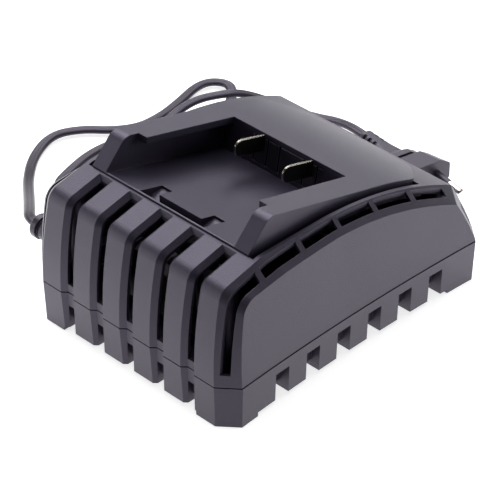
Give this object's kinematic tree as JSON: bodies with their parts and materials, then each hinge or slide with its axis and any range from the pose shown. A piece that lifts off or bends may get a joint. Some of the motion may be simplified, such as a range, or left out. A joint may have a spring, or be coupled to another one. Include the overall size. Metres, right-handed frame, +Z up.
{
  "type": "power tool battery charger",
  "caption": "Bench charger for a slide-on tool battery: ribbed, vented two-part housing with a sloping battery bay, upright contact blades, tied mains cord and flat two-pin plug.",
  "frame": {"origin": "bottom centre of the housing, on the surface that its feet stand on", "axes": "+X to the right seen from the front, +Y from the low open front of the bay towards the rear, +Z up"},
  "size_m": [0.2153, 0.2003, 0.0818],
  "materials": {
    "shell_plastic": "fine-textured charcoal moulding",
    "cord_sheath": "soft dull charcoal sheath",
    "plug_plastic": "dull charcoal moulding",
    "terminal_plastic": "black glass-filled moulding",
    "contact_metal": "bright stamped strip",
    "pin_metal": "nickel plated",
    "screw_steel": "zinc plated",
    "board_laminate": "green solder mask",
    "ferrite": "dull sintered ferrite",
    "winding_tape": "yellow winding tape",
    "capacitor_sleeve": "shrunk sleeve",
    "film_capacitor": "moulded box",
    "heat_sink_aluminium": "plain extruded",
    "package_epoxy": "moulded epoxy",
    "connector_nylon": "natural nylon",
    "fuse_ceramic": "glazed tube with plated caps",
    "wire_brown": "insulation",
    "wire_blue": "insulation",
    "wire_red": "insulation",
    "wire_black": "insulation",
    "tie_plastic": "soft strip"
  },
  "bodies": {
    "root": {"battery_cradle": "shell_plastic", "upper_shell": "shell_plastic", "lower_shell": "shell_plastic", "terminal_block": "terminal_plastic", "contact_blade_negative": "contact_metal", "contact_blade_positive": "contact_metal", "circuit_board": "board_laminate", "board_screws": "screw_steel", "shell_screws": "screw_steel", "bridge_rectifier": "package_epoxy", "controller_chip": "package_epoxy", "optocoupler": "package_epoxy", "switching_transistor": "package_epoxy", "output_diode": "package_epoxy", "common_mode_choke": "ferrite", "transformer_core": "ferrite", "transformer_winding": "winding_tape", "interference_capacitor": "film_capacitor", "mains_capacitor": "capacitor_sleeve", "output_capacitor_left": "capacitor_sleeve", "output_capacitor_right": "capacitor_sleeve", "primary_heat_sink": "heat_sink_aluminium", "secondary_heat_sink": "heat_sink_aluminium", "mains_connector": "connector_nylon", "output_connector": "connector_nylon", "mains_fuse": "fuse_ceramic", "mains_lead_live": "wire_brown", "mains_lead_neutral": "wire_blue", "output_lead_positive": "wire_red", "output_lead_negative": "wire_black", "cord_clamp": "connector_nylon", "cord_inner_end": "cord_sheath", "strain_relief": "cord_sheath", "cord_to_hank": "cord_sheath", "cord_hank": "cord_sheath", "cord_to_plug": "cord_sheath", "hank_tie": "tie_plastic", "plug_body": "plug_plastic", "plug_boot": "plug_plastic", "pin_sleeve_near": "plug_plastic", "pin_sleeve_far": "plug_plastic", "plug_pin_near": "pin_metal", "plug_pin_far": "pin_metal"}
  },
  "joints": []
}
